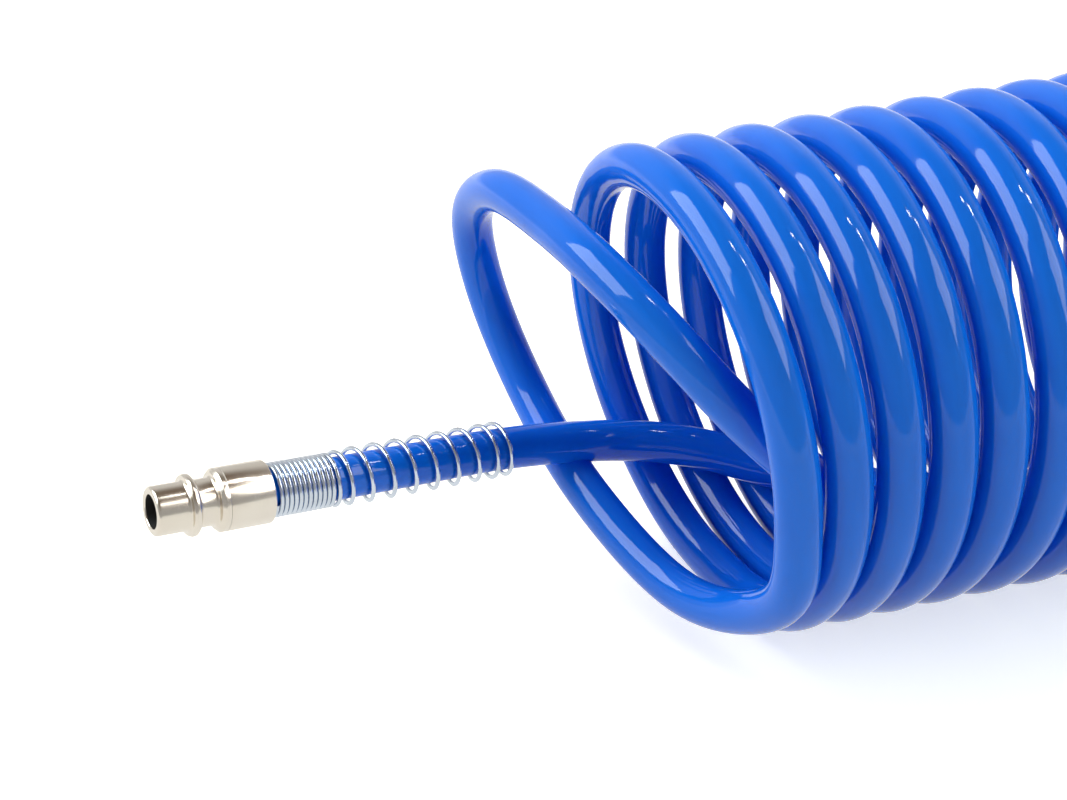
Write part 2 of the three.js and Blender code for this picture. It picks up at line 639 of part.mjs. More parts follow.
function couplerEnd() {
  const frame = new THREE.Group();
  frame.position.set(MOUTH_X, COUPLER_START.y, COUPLER_START.z);
  frame.rotation.z = Math.PI;
  const fittings = new THREE.Group();
  fittings.position.x = COUPLER_FACE;
  fittings.add(ferrule("coupler_ferrule"), guardSpring("coupler_guard_spring"));
  const springRoom = BODY_FLANGE_START - SLEEVE_SHOULDER - 2 * CLEARANCE;
  const springRadius = (BODY_FRONT_RADIUS + BODY_FLANGE_RADIUS + CLEARANCE) / 2;
  frame.add(
    couplerBody(),
    couplerSleeve(),
    ringPiece(
      "sleeve_retaining_ring", RING_START, RING_WIDTH, BODY_FRONT_RADIUS - RING_DEPTH + CLEARANCE,
      RING_OUTER_RADIUS, STEEL,
    ),
    innerSpring(
      "sleeve_spring", SLEEVE_SHOULDER + CLEARANCE, springRoom, springRadius, SLEEVE_SPRING_WIRE,
      SLEEVE_SPRING_CURLS,
    ),
    ...lockingBalls(),
    ringPiece(
      "plug_seal", NOSE_SEAL_START + CLEARANCE, NOSE_SEAL_WIDTH - 2 * CLEARANCE, NOSE_RADIUS + NOSE_SEAL_ROOM,
      NOSE_BORE + NOSE_SEAL_DEPTH - CLEARANCE, SEAL,
    ),
    valvePoppet(),
    ringPiece(
      "poppet_seal", VALVE_SEAT + CLEARANCE, VALVE_SEAL_WIDTH, POPPET_TUBE_RADIUS + CLEARANCE,
      POPPET_DISC_RADIUS, SEAL,
    ),
    innerSpring(
      "valve_spring", POPPET_DISC_END + CLEARANCE, VALVE_SPRING_LENGTH, VALVE_SPRING_RADIUS,
      VALVE_SPRING_WIRE, VALVE_SPRING_CURLS,
    ),
    couplerAdapter(),
    ringPiece(
      "adapter_seal", ADAPTER_SEAL_START, ADAPTER_SEAL_WIDTH,
      SPIGOT_RADIUS - ADAPTER_SEAL_DEPTH + CLEARANCE, SPIGOT_RADIUS, SEAL,
    ),
    fittings,
  );
  return frame;
}

function couplerTail() {
  const join = 2 * HOSE_RADIUS + CLEARANCE;
  const back = new THREE.Vector3(-1, 0, 0);
  const start = new THREE.Vector3(MOUTH_X - COUPLER_FACE - HOSE_SEAT, COUPLER_START.y, COUPLER_START.z);
  const leave = ahead(COIL_END, COIL_END_WAY, join);
  const route = [
    start,
    ahead(start, back, SPRING_SEAT),
    ...SPRING_SHARES.map((share) => ahead(start, back, SPRING_SEAT + SPRING_LENGTH * share)),
    COUPLER_START,
    ahead(COUPLER_START, back, HOSE_RADIUS),
    leave.clone().add(vec(LEAD_BEND)),
    ahead(leave, COIL_END_WAY, HOSE_RADIUS),
    leave,
  ];
  return tail("hose_tail_coupler", route, back);
}

// ---- Assembly, with its origin under the middle ----

const assembly = new THREE.Group();
assembly.add(plugEnd(), plugTail(), coil(), couplerTail(), couplerEnd());
assembly.updateMatrixWorld(true);
const box = new THREE.Box3().setFromObject(assembly, true);
assembly.position.set(-(box.min.x + box.max.x) / 2, -(box.min.y + box.max.y) / 2, 0);

const group = new THREE.Group();
group.add(assembly);
export default group;
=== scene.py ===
"""Visual model of the coiled air hose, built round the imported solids.

Sizes are in millimetres until a mesh is made. X runs along the coil's axis and Z is up.
"""

import math

import bmesh
import bpy
import numpy as np
from mathutils import Matrix, Vector


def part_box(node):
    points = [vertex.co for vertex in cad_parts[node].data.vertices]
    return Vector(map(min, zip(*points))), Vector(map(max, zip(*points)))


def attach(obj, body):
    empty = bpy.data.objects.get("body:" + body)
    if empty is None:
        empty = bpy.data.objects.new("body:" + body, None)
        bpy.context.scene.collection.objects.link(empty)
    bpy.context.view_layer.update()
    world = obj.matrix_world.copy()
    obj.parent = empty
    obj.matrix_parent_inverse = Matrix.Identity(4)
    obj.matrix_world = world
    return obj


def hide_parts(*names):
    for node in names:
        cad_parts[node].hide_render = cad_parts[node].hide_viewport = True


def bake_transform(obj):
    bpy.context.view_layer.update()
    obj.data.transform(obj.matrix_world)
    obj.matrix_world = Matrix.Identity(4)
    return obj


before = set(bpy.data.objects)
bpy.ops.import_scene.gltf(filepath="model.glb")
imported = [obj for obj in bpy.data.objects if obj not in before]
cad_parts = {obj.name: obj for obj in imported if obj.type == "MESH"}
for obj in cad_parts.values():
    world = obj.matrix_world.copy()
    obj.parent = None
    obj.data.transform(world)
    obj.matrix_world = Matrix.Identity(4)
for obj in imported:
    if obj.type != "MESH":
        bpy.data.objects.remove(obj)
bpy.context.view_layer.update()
MM = 0.001
UP = Vector((0, 0, 1))

# ---- Sizes, as in the part's source ----

CLEARANCE = 0.3  # left between pieces that touch

# Hose and coil. Turns are counted from the top of the coil, where they are whole numbers
HOSE_RADIUS = 4.75
COIL_RADIUS = 49.5  # axis to the hose's centre line
COIL_PITCH = 11.7
FIRST_TURN = 0.74
COIL_TURNS = 13.81
COIL_X = -18.9  # where turn 0 would lie
LEAN_TURNS = 7.3  # turns over which the pulled end stands straight again
LEAN_UP = 9.2  # how far the tops lean towards the plug there
LEAN_UP_FAR = 7  # and away from it at the other end
LEAN_SIDE = 10  # how far the sides lean at the pulled end
TIGHT_TURN = 5  # the turn that lies closest to the one before it
TIGHT_SLIP = 0.5
REST_FLAT = 0.95  # depth of the flats that the coil rests on
AXIS_Z = COIL_RADIUS + HOSE_RADIUS - REST_FLAT

# The way from the plug to the coil, from the coil's axis, in hundredths of its radius
PLUG_ROUTE = [
    (-39.6, 55.5, -53.2),
    (-17, 53.4, -57),
    (5.4, 48.1, -62),
    (24.1, 41.2, -68.1),
    (43.5, 32, -73.9),
    (65.5, 20.6, -75.3),
    (84, -8.9, -71.9),
    (75.1, -50.5, -52.3),
    (28.5, -71.6, -16.8),
    (-11.1, -68.3, 26.9),
    (-34.3, -51, 56.8),
    (-52.9, -14.8, 74.8),
    (-63, 30.3, 75.8),
    (-73.9, 84.6, 68.3),
    (-78.6, 123.4, 38),
    (-73.9, 125.7, -3.8),
    (-63.1, 93, -44.8),
    (-51.1, 38.4, -67.8),
    (-25.6, -33.3, -83),
    (-4.3, -81.9, -59.5),
]
PLUG_NOSE = (-244.5, 1.7, -11.8)  # in the same measure
PLUG_TURN = 16  # degrees
PLUG_DIP = 10.5

# Plug
PLUG_BORE = 3.6
NOSE_RADIUS = 5.25
COLLAR_RADIUS = 6.65
NECK_RADIUS = 5.1
SHOULDER_RADIUS = 6.8
PLUG_FACE = 15.15  # where the plug ends and its barb begins, from the nose

# Barb and ferrule
BARB_BORE = 2.2
BARB_RADIUS = 3.3
BARB_RIDGE = 0.25
BARB_PITCH = 2.6
BARB_RIDGES = 4
BARB_LAND = 1
BARB_STEP = 0.2
FERRULE_LENGTH = 9.7
FERRULE_RADIUS = 6.8
FERRULE_WEB = 1.2

# Guard spring, counted in curls from the ferrule
SOLID_WIRE_RADIUS = 0.32
TIGHT_OUTER_RADIUS = 5.95
TIGHT_PITCH = 1.08
TIGHT_CURLS = 12.4
OPEN_OUTER_RADIUS = 6.42
OPEN_PITCH = 5.2
WIDEN_CURLS = 2.4
OPEN_CURLS = 8.3
LAST_PITCH = 3.4
LAST_CURLS = 1.25
FIRST_CURL_ANGLE = math.radians(95)

# Coupler, measured along its axis from the mouth
MOUTH_BORE = 6.9
NOSE_BORE = 5.55
NOSE_BORE_START = 11.4
VALVE_SEAT = 21
VALVE_CHAMBER = 7
BODY_FRONT_RADIUS = 9.2
BODY_FLANGE_RADIUS = 11.3
BODY_FLANGE_START = 23
BODY_LENGTH = 37
SOCKET_RADIUS = 8.2
SOCKET_START = 27
BALL_COUNT = 6
BALL_RADIUS = 1.6
BALL_PLACE = 5.8
BALL_CENTRE = 7.6
SLEEVE_RADIUS = 13
SLEEVE_START = 0.2
SLEEVE_LIP = 3
SLEEVE_FRONT_BORE = 11
SLEEVE_SHOULDER = 13
SLEEVE_END = 28
RING_START = 1.3
RING_WIDTH = 1.1
RING_DEPTH = 0.6
RING_OUTER_RADIUS = 10.7
NOSE_SEAL_START = 13.2
NOSE_SEAL_WIDTH = 2.2
NOSE_SEAL_DEPTH = 1.3
POPPET_FRONT = 13.6
POPPET_TUBE_RADIUS = 4.7
POPPET_TUBE_BORE = 3.3
POPPET_DISC_RADIUS = 6.5
POPPET_DISC_START = 22.6
POPPET_DISC_END = 24.4
POPPET_STEM_RADIUS = 2.2
POPPET_STEM_LENGTH = 3.2
VALVE_SPRING_RADIUS = 4.6
VALVE_SPRING_LENGTH = 9.6
VALVE_SPRING_CURLS = 4.5
SLEEVE_SPRING_CURLS = 3.5
ADAPTER_BORE = 5.6
ADAPTER_SEAL_START = 34.1
ADAPTER_SEAL_WIDTH = 1.6
ADAPTER_SEAL_DEPTH = 1.1
HEX_ACROSS_FLATS = 19
HEX_LENGTH = 6

# The way from the coil's end to the coupler
LEAD_OUT = 42
LEAD_SIDE = 31.5
LEAD_BEND = Vector((11.8, -14.3, 2.5))  # from where it leaves the coil to its first bend

# What follows from these, from a fitting's face
HOSE_SEAT = CLEARANCE + FERRULE_WEB + CLEARANCE
SPRING_SEAT = CLEARANCE + FERRULE_LENGTH + CLEARANCE
BARB_LENGTH = HOSE_SEAT + BARB_LAND + BARB_PITCH * BARB_RIDGES
WIRE_TURNS = TIGHT_CURLS + OPEN_CURLS + LAST_CURLS


def wire_along(curl):
    """How far along the guard spring its wire has come after so many curls."""
    opened = max(0, curl - TIGHT_CURLS)
    last = max(0, opened - OPEN_CURLS)
    widening = min(opened, WIDEN_CURLS)
    widened = opened - last - widening
    rise = (OPEN_PITCH - TIGHT_PITCH) * (widening * widening / (2 * WIDEN_CURLS) + widened)
    return TIGHT_PITCH * (curl - last) + rise + LAST_PITCH * last


SPRING_LENGTH = wire_along(WIRE_TURNS) + 2 * SOLID_WIRE_RADIUS
HELD_LENGTH = SPRING_SEAT + SPRING_LENGTH
HEX_START = BODY_LENGTH + CLEARANCE
COUPLER_FACE = HEX_START + HEX_LENGTH


def coil_point(turn):
    """Where the hose's centre line has come after so many turns."""
    straighten = math.exp(-(turn - 1) / LEAN_TURNS)
    angle = 2 * math.pi * turn
    lean = (LEAN_UP_FAR - LEAN_UP * straighten) * math.cos(angle)
    lead = -LEAN_SIDE * straighten * math.sin(angle)
    slip = TIGHT_SLIP * max(0, 1 - abs(turn - TIGHT_TURN))
    return Vector(
        (
            COIL_X + COIL_PITCH * turn + lean + lead - slip,
            COIL_RADIUS * math.sin(angle),
            AXIS_Z + COIL_RADIUS * math.cos(angle),
        )
    )


def coil_way(turn):
    """The way the hose runs there."""
    return (coil_point(turn + 0.01) - coil_point(turn - 0.01)).normalized()


LAST_TURN = FIRST_TURN + COIL_TURNS
COIL_END = coil_point(LAST_TURN)
COUPLER_START = Vector((COIL_END.x + LEAD_OUT, COIL_END.y - LEAD_SIDE, SLEEVE_RADIUS))
MOUTH_X = COUPLER_START.x + COUPLER_FACE + HELD_LENGTH

# The shift from the coil's frame to the middle of the whole part's box
body_low, body_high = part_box("coupler_body")
SHIFT = Vector(
    (
        body_high.x / MM - MOUTH_X,
        (body_low.y + body_high.y) / 2 / MM - COUPLER_START.y,
        0,
    )
)


def from_coil_axis(share):
    """A point given from the coil's axis in hundredths of its radius."""
    return Vector(share) * COIL_RADIUS / 100 + SHIFT + UP * AXIS_Z


def heading(azimuth, elevation):
    """The direction at an azimuth counted from +Y towards +X, and an elevation, in radians."""
    flat = math.cos(elevation)
    return Vector((flat * math.sin(azimuth), flat * math.cos(azimuth), math.sin(elevation)))


# ---- Camera ----

CAMERA_PLACE = Vector((-111.8, -346.4, 276.5))
CAMERA_TURN = math.radians(11.724)
CAMERA_DIP = math.radians(31.681)
CAMERA_ROLL = math.radians(-4.003)
FRAME_WIDTH = 1067
FOCAL_LENGTH = 2000  # in the unit of the frame's width
SENSOR_WIDTH = 36


def add_camera():
    camera = bpy.data.objects.new("camera", bpy.data.cameras.new("camera"))
    bpy.context.scene.collection.objects.link(camera)
    ahead = heading(CAMERA_TURN, -CAMERA_DIP)
    level = Vector((math.cos(CAMERA_TURN), -math.sin(CAMERA_TURN), 0))
    above = level.cross(ahead)
    right = level * math.cos(CAMERA_ROLL) + above * math.sin(CAMERA_ROLL)
    top = above * math.cos(CAMERA_ROLL) - level * math.sin(CAMERA_ROLL)
    turn = Matrix((right, top, -ahead)).transposed().to_4x4()
    camera.matrix_world = Matrix.Translation((CAMERA_PLACE + SHIFT) * MM) @ turn
    camera.data.sensor_fit = "HORIZONTAL"
    camera.data.sensor_width = SENSOR_WIDTH
    camera.data.lens = SENSOR_WIDTH * FOCAL_LENGTH / FRAME_WIDTH
    camera.data.clip_start = 0.01
    camera.data.clip_end = 20
    bpy.context.scene.camera = camera


add_camera()

# ---- Materials ----


def add_node(tree, kind, inputs=None, **settings):
    made = tree.nodes.new(kind)
    for key, value in settings.items():
        setattr(made, key, value)
    for key, value in (inputs or {}).items():
        made.inputs[key].default_value = value
    return made


def finish(name, color, accent, roughness, grain, **more):
    """A surface whose colour, sheen and height vary with procedural noise.

    roughness is (lowest, highest). grain is a list of (scale per metre, stretch, height in mm),
    of which the first also blends the colours and the last also varies the roughness.
    """
    material = bpy.data.materials.new(name)
    material.use_nodes = True
    tree = material.node_tree
    tree.nodes.clear()
    link = tree.links.new
    out = add_node(tree, "ShaderNodeOutputMaterial")
    shader = add_node(tree, "ShaderNodeBsdfPrincipled", more)
    link(shader.outputs[0], out.inputs["Surface"])
    place = add_node(tree, "ShaderNodeTexCoord").outputs["Object"]
    fields = []
    bump = None
    for scale, stretch, height in grain:
        mapping = add_node(tree, "ShaderNodeMapping", {"Scale": stretch})
        link(place, mapping.inputs["Vector"])
        field = add_node(
            tree, "ShaderNodeTexNoise", {"Scale": scale, "Detail": 3.0, "Roughness": 0.55}
        )
        link(mapping.outputs[0], field.inputs["Vector"])
        fields.append(field.outputs["Fac"])
        relief = add_node(tree, "ShaderNodeBump", {"Strength": 1.0, "Distance": height * MM})
        link(field.outputs["Fac"], relief.inputs["Height"])
        if bump:
            link(bump, relief.inputs["Normal"])
        bump = relief.outputs[0]
    link(bump, shader.inputs["Normal"])
    blend = add_node(tree, "ShaderNodeMix", data_type="RGBA")
    blend.inputs["A"].default_value = (*color, 1)
    blend.inputs["B"].default_value = (*accent, 1)
    spread = add_node(tree, "ShaderNodeMapRange", {"From Min": 0.35, "From Max": 0.65})
    link(fields[0], spread.inputs["Value"])
    link(spread.outputs[0], blend.inputs["Factor"])
    link(blend.outputs["Result"], shader.inputs["Base Color"])
    sheen = add_node(
        tree, "ShaderNodeMapRange",
        {"From Min": 0.3, "From Max": 0.7, "To Min": roughness[0], "To Max": roughness[1]},
    )
    link(fields[-1], sheen.inputs["Value"])
    link(sheen.outputs[0], shader.inputs["Roughness"])
    return material


EVEN = (1, 1, 1)
TURNED = (1, 0.03, 0.03)  # drawn out round the axis, as a lathe leaves it
HOSE_BLUE = finish(
    "hose_blue", (0.005, 0.176, 0.84), (0.004, 0.158, 0.79), (0.05, 0.08),
    [(28, EVEN, 0.5), (420, EVEN, 0.01)],
    **{"Specular IOR Level": 0.36},
)
NICKEL = finish(
    "nickel_plate", (0.80, 0.745, 0.66), (0.76, 0.70, 0.61), (0.17, 0.25),
    [(90, EVEN, 0.004), (5200, TURNED, 0.0012)], Metallic=1.0,
)
WIRE = finish(
    "spring_steel", (0.68, 0.74, 0.82), (0.6, 0.66, 0.74), (0.14, 0.26),
    [(160, EVEN, 0.01), (2600, EVEN, 0.0016)], Metallic=1.0,
)
STEEL = finish(
    "bearing_steel", (0.62, 0.63, 0.64), (0.56, 0.57, 0.59), (0.06, 0.12),
    [(700, EVEN, 0.0006)], Metallic=1.0,
)
BRASS = finish(
    "valve_brass", (0.68, 0.5, 0.2), (0.6, 0.41, 0.15), (0.18, 0.3),
    [(120, EVEN, 0.004), (4200, TURNED, 0.002)], Metallic=1.0,
)
# Near black: painted shade for the inside of the plug's bore
BORE_SHADE = finish(
    "bore_painted_shade", (0.02, 0.017, 0.014), (0.012, 0.011, 0.01), (0.55, 0.75),
    [(300, EVEN, 0.01)],
)
RUBBER = finish(
    "seal_rubber", (0.012, 0.012, 0.013), (0.02, 0.02, 0.022), (0.5, 0.65),
    [(2400, EVEN, 0.012)],
)

# ---- Mesh building ----

SHARP = 32  # degrees between faces, from which the edge of a turned piece is drawn sharp
SAME_POINT = 1e-7  # metres
NO_LENGTH = 1e-8
MOST_OF_A_SIDE = 0.49  # the share of a side that one fillet may take


def added(name, verts, faces, matrix):
    """An object from points in millimetres, with its normals outwards and no doubled points."""
    mesh = bpy.data.meshes.new(name)
    mesh.from_pydata((np.asarray(verts, float) * MM).tolist(), [], faces)
    clean = bmesh.new()
    clean.from_mesh(mesh)
    bmesh.ops.remove_doubles(clean, verts=clean.verts, dist=SAME_POINT)
    bmesh.ops.dissolve_degenerate(clean, dist=NO_LENGTH, edges=clean.edges)
    bmesh.ops.recalc_face_normals(clean, faces=clean.faces)
    clean.to_mesh(mesh)
    clean.free()
    obj = bpy.data.objects.new(name, mesh)
    obj.matrix_world = matrix
    bpy.context.scene.collection.objects.link(obj)
    return obj


def smooth(mesh, sharp=SHARP):
    """Smooth but for edges sharper than so many degrees."""
    mesh.shade_smooth()
    mesh.set_sharp_from_angle(angle=math.radians(sharp))


def placed(name, verts, faces, matrix, material, slot, sharp=SHARP):
    """A piece of the part, with its finish. slot, the slot that the finish stands for, is not
    used.
    """
    piece = added(name, verts, faces, matrix)
    smooth(piece.data, sharp)
    piece.data.materials.append(material)
    return piece


def rounded(corners, steps=5):
    """The outline through (along, radius, fillet) corners, with an arc where there is a fillet."""
    points = []
    for i, corner in enumerate(corners):
        here = Vector(corner[:2])
        if len(corner) < 3 or corner[2] <= 0:
            points.append(tuple(here))
            continue
        before = Vector(corners[i - 1][:2]) - here
        after = Vector(corners[(i + 1) % len(corners)][:2]) - here
        half = before.angle(after) / 2
        room = MOST_OF_A_SIDE * min(before.length, after.length)
        reach = min(corner[2] / math.tan(half), room)
        radius = reach * math.tan(half)
        before, after = before.normalized(), after.normalized()
        first, last = here + before * reach, here + after * reach
        centre = here + (before + after).normalized() * radius / math.sin(half)
        for k in range(steps + 1):
            mixed = (first - centre).slerp(last - centre, k / steps)
            points.append(tuple(centre + mixed.normalized() * radius))
    return points


def turned(outline, sides=96, share=1.0, swell=None):
    """Points and faces of an outline of (along, radius) pairs turned about X.

    share is how much of a full turn it makes. swell gives what a point's radius grows by.
    """
    rings = sides if share == 1 else sides + 1
    count = len(outline)
    verts = []
    for k in range(rings):
        angle = 2 * math.pi * share * k / sides
        for along, radius in outline:
            out = radius + (swell(along, radius, angle) if swell else 0)
            verts.append((along, -out * math.sin(angle), out * math.cos(angle)))
    faces = []
    for k in range(sides):
        here, there = k * count, (k + 1) % rings * count
        for i in range(count):
            j = (i + 1) % count
            faces.append((here + i, here + j, there + j, there + i))
    if share != 1:
        faces += [tuple(range(count)), tuple(range((rings - 1) * count, rings * count))[::-1]]
    return verts, faces


ASIDE = (0.0, 0.3, 1.0)  # a direction that no tube sets out in


def tube(path, radius, sides, bore=None):
    """Points and faces of a tube round a path, and the centre of each of its rings.

    bore is (radius, rings) of a blind hole in each end.
    """
    path = np.asarray(path, float)
    tangents = np.gradient(path, axis=0)
    tangents /= np.linalg.norm(tangents, axis=1)[:, None]
    normal = np.cross(tangents[0], ASIDE)
    angles = 2 * np.pi * np.arange(sides) / sides
    rings = []
    for point, tangent in zip(path, tangents):
        normal = normal - tangent * (normal @ tangent)
        normal /= np.linalg.norm(normal)
        side = np.cross(tangent, normal)
        rings.append((point, normal, side))

    def ring(place, size):
        point, first, second = place
        return point + size * (np.outer(np.cos(angles), first) + np.outer(np.sin(angles), second))

    order = [(place, radius) for place in rings]
    if bore:
        size, depth = bore
        order = [(rings[i], size) for i in range(depth, -1, -1)] + order
        order += [(rings[i], size) for i in range(len(rings) - 1, len(rings) - 2 - depth, -1)]
    verts = np.concatenate([ring(*item) for item in order])
    faces = []
    for i in range(len(order) - 1):
        for k in range(sides):
            a, b = i * sides + k, i * sides + (k + 1) % sides
            faces.append((a, b, b + sides, a + sides))
    last = (len(order) - 1) * sides
    faces += [tuple(range(sides))[::-1], tuple(range(last, last + sides))]
    return verts, faces, [item[0][0] for item in order]


def through(points, step):
    """A centripetal curve through points, as a list of points about a step apart."""
    points = [Vector(p) for p in points]
    ends = [2 * points[0] - points[1], *points, 2 * points[-1] - points[-2]]
    path = []
    for p0, p1, p2, p3 in zip(ends, ends[1:], ends[2:], ends[3:]):
        d0, d1, d2 = ((b - a).length ** 0.5 for a, b in ((p0, p1), (p1, p2), (p2, p3)))
        t1 = ((p1 - p0) / d0 - (p2 - p0) / (d0 + d1) + (p2 - p1) / d1) * d1
        t2 = ((p2 - p1) / d1 - (p3 - p1) / (d1 + d2) + (p3 - p2) / d2) * d1
        count = max(2, round((p2 - p1).length / step))
        for k in range(count):
            t = k / count
            square, cube = t * t, t * t * t
            path.append(
                p1 * (2 * cube - 3 * square + 1) + p2 * (3 * square - 2 * cube)
                + t1 * (cube - 2 * square + t) + t2 * (cube - square)
            )
    return path + [points[-1]]


def spaced(path, step):
    """The path as evenly spaced points, how far along each lies, and how far the old ones lay."""
    path = np.array([tuple(p) for p in path])
    lengths = np.concatenate([[0], np.cumsum(np.linalg.norm(np.diff(path, axis=0), axis=1))])
    places = np.linspace(0, lengths[-1], round(lengths[-1] / step) + 1)
    even = np.stack([np.interp(places, lengths, path[:, k]) for k in range(3)], axis=1)
    return even, places, lengths


# ---- Frames of the two fittings ----

plug_frame = (
    Matrix.Translation(from_coil_axis(PLUG_NOSE) * MM)
    @ Matrix.Rotation(math.radians(PLUG_TURN), 4, "Z")
    @ Matrix.Rotation(math.radians(PLUG_DIP), 4, "Y")
)
coupler_frame = Matrix.Translation(
    (Vector((MOUTH_X, COUPLER_START.y, COUPLER_START.z)) + SHIFT) * MM
) @ Matrix.Rotation(math.pi, 4, "Z")


def on_axis(matrix, along):
    """A point on a fitting's axis, in millimetres."""
    return matrix @ Vector((along * MM, 0, 0)) / MM


# ---- Hose ----

HOSE_STEP = 3
HOSE_SIDES = 28
HOSE_BORE = BARB_RADIUS + 0.1
SPRING_SHARES = (0.35, 0.7)  # of the guard spring's length, where the hose still runs straight
TURN_STEPS = 110
FLOOR_SINK = 0.23  # how far the hose's round would pass the floor where it rests
FLOOR_EASE = 0.8
SMOOTHINGS = 6


def hose_way():
    """The hose's centre line from ferrule to ferrule, and each point's share of the coil."""
    join = 2 * HOSE_RADIUS + CLEARANCE
    coil_start, start_way = coil_point(FIRST_TURN) + SHIFT, coil_way(FIRST_TURN)
    coil_end, end_way = COIL_END + SHIFT, coil_way(LAST_TURN)
    middle = [SPRING_SEAT + SPRING_LENGTH * share for share in SPRING_SHARES]
    held = [HOSE_SEAT, SPRING_SEAT, *middle, HELD_LENGTH]
    first = [on_axis(plug_frame, PLUG_FACE + along) for along in held]
    first += [from_coil_axis(p) for p in PLUG_ROUTE]
    first += [coil_start - start_way * (join + HOSE_RADIUS), coil_start - start_way * join]
    last = [coil_end + end_way * join, coil_end + end_way * (join + HOSE_RADIUS)]
    last.append(coil_end + end_way * join + LEAD_BEND)
    last.append(on_axis(coupler_frame, COUPLER_FACE + HELD_LENGTH + HOSE_RADIUS))
    last += [on_axis(coupler_frame, COUPLER_FACE + along) for along in reversed(held)]
    steps = round(COIL_TURNS * TURN_STEPS)
    coil = [coil_point(FIRST_TURN + COIL_TURNS * i / steps) + SHIFT for i in range(steps + 1)]
    head, tail = through(first, 1), through(last, 1)
    path, places, lengths = spaced([*head, *coil, *tail], HOSE_STEP)
    low = HOSE_RADIUS - FLOOR_SINK
    path[:, 2] += FLOOR_EASE * np.log1p(np.exp((low - path[:, 2]) / FLOOR_EASE))
    for _ in range(SMOOTHINGS):
        path[1:-1] = (path[:-2] + 2 * path[1:-1] + path[2:]) / 4
    coil_from, coil_to = lengths[len(head)], lengths[len(head) + len(coil) - 1]
    return path, np.clip((places - coil_from) / (coil_to - coil_from), 0, 1)


def add_hose():
    path, shares = hose_way()
    depth = round((BARB_LENGTH - HOSE_SEAT + CLEARANCE) / HOSE_STEP) + 1
    verts, faces, centres = tube(path, HOSE_RADIUS, HOSE_SIDES, bore=(HOSE_BORE, depth))
    hose = placed("air_hose", verts, faces, Matrix.Identity(4), HOSE_BLUE, "hose_blue", sharp=60)
    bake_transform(hose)
    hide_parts("hose_tail_plug", "hose_coil", "hose_tail_coupler")
    return hose, path


hose, hose_path = add_hose()

# ---- Fittings on both ends ----

WIRE_RADIUS = 0.5
WIRE_SIDES = 12
WIRE_STEPS = 30
WIRE_OVERRUN = 0.42  # curls by which the wire passes its solid
WIRE_TUCK = 0.5  # how far it comes in towards the hose on these
FERRULE_JOIN = 0.04
FERRULE_BORE = HOSE_RADIUS + 0.12


def barb_corners(face):
    """The outline of the ridges that hold the hose, from a fitting's face on."""
    root = BARB_RADIUS - BARB_RIDGE
    corners = [(face, root)]
    for i in range(BARB_RIDGES):
        start = face + HOSE_SEAT + BARB_LAND + BARB_PITCH * i
        corners += [(start, root), (start + BARB_STEP, BARB_RADIUS)]
    return corners + [(face + BARB_LENGTH, root)]


def add_ferrule(end, matrix, face, body):
    start, stop = face + FERRULE_JOIN, face + CLEARANCE + FERRULE_LENGTH
    web = face + CLEARANCE + FERRULE_WEB
    outline = rounded(
        [
            (start, FERRULE_RADIUS, 0.05),
            (stop, FERRULE_RADIUS, 0.22),
            (stop, FERRULE_BORE, 0.25),
            (web, FERRULE_BORE),
            (web, BARB_RADIUS + CLEARANCE),
            (start, BARB_RADIUS + CLEARANCE),
        ]
    )
    piece = placed(f"{end}_ferrule_turned", *turned(outline), matrix, NICKEL, "nickel_plate")
    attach(piece, body)
    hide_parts(f"{end}_ferrule")


def add_guard_spring(end, matrix, face, body):
    path = []
    for i in range(round((WIRE_TURNS + WIRE_OVERRUN) * WIRE_STEPS) + 1):
        curl = i / WIRE_STEPS
        widen = min(1, max(0, (curl - TIGHT_CURLS) / WIDEN_CURLS))
        outer = TIGHT_OUTER_RADIUS + (OPEN_OUTER_RADIUS - TIGHT_OUTER_RADIUS) * widen
        tuck = min(1, max(0, curl - WIRE_TURNS) / WIRE_OVERRUN)
        radius = outer - WIRE_RADIUS - WIRE_TUCK * tuck * tuck
        angle = FIRST_CURL_ANGLE + 2 * math.pi * curl
        along = face + SPRING_SEAT + SOLID_WIRE_RADIUS + wire_along(curl)
        path.append((along, -radius * math.sin(angle), radius * math.cos(angle)))
    verts, faces, _ = tube(path, WIRE_RADIUS, WIRE_SIDES)
    piece = placed(f"{end}_guard_wire", verts, faces, matrix, WIRE, "spring_steel", sharp=50)
    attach(piece, body)
    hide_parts(f"{end}_guard_spring")


# ---- Plug ----

FACES_OUT = 0.5  # from here on a face points away from the axis, and isn't the bore's
BORE_EDGE = 0.7  # depth into the bore from which its painted shade begins


def darken_bore(piece, start, radius):
    """Gives the faces inside a bore, from start inwards, a near-black finish that paints the shade
    inside the hole.
    """
    piece.data.materials.append(BORE_SHADE)
    for face in piece.data.polygons:
        place = face.center / MM
        outwards = Vector((0, place.y, place.z))
        if place.x > start and outwards.length < radius and face.normal.dot(outwards) < FACES_OUT:
            face.material_index = 1


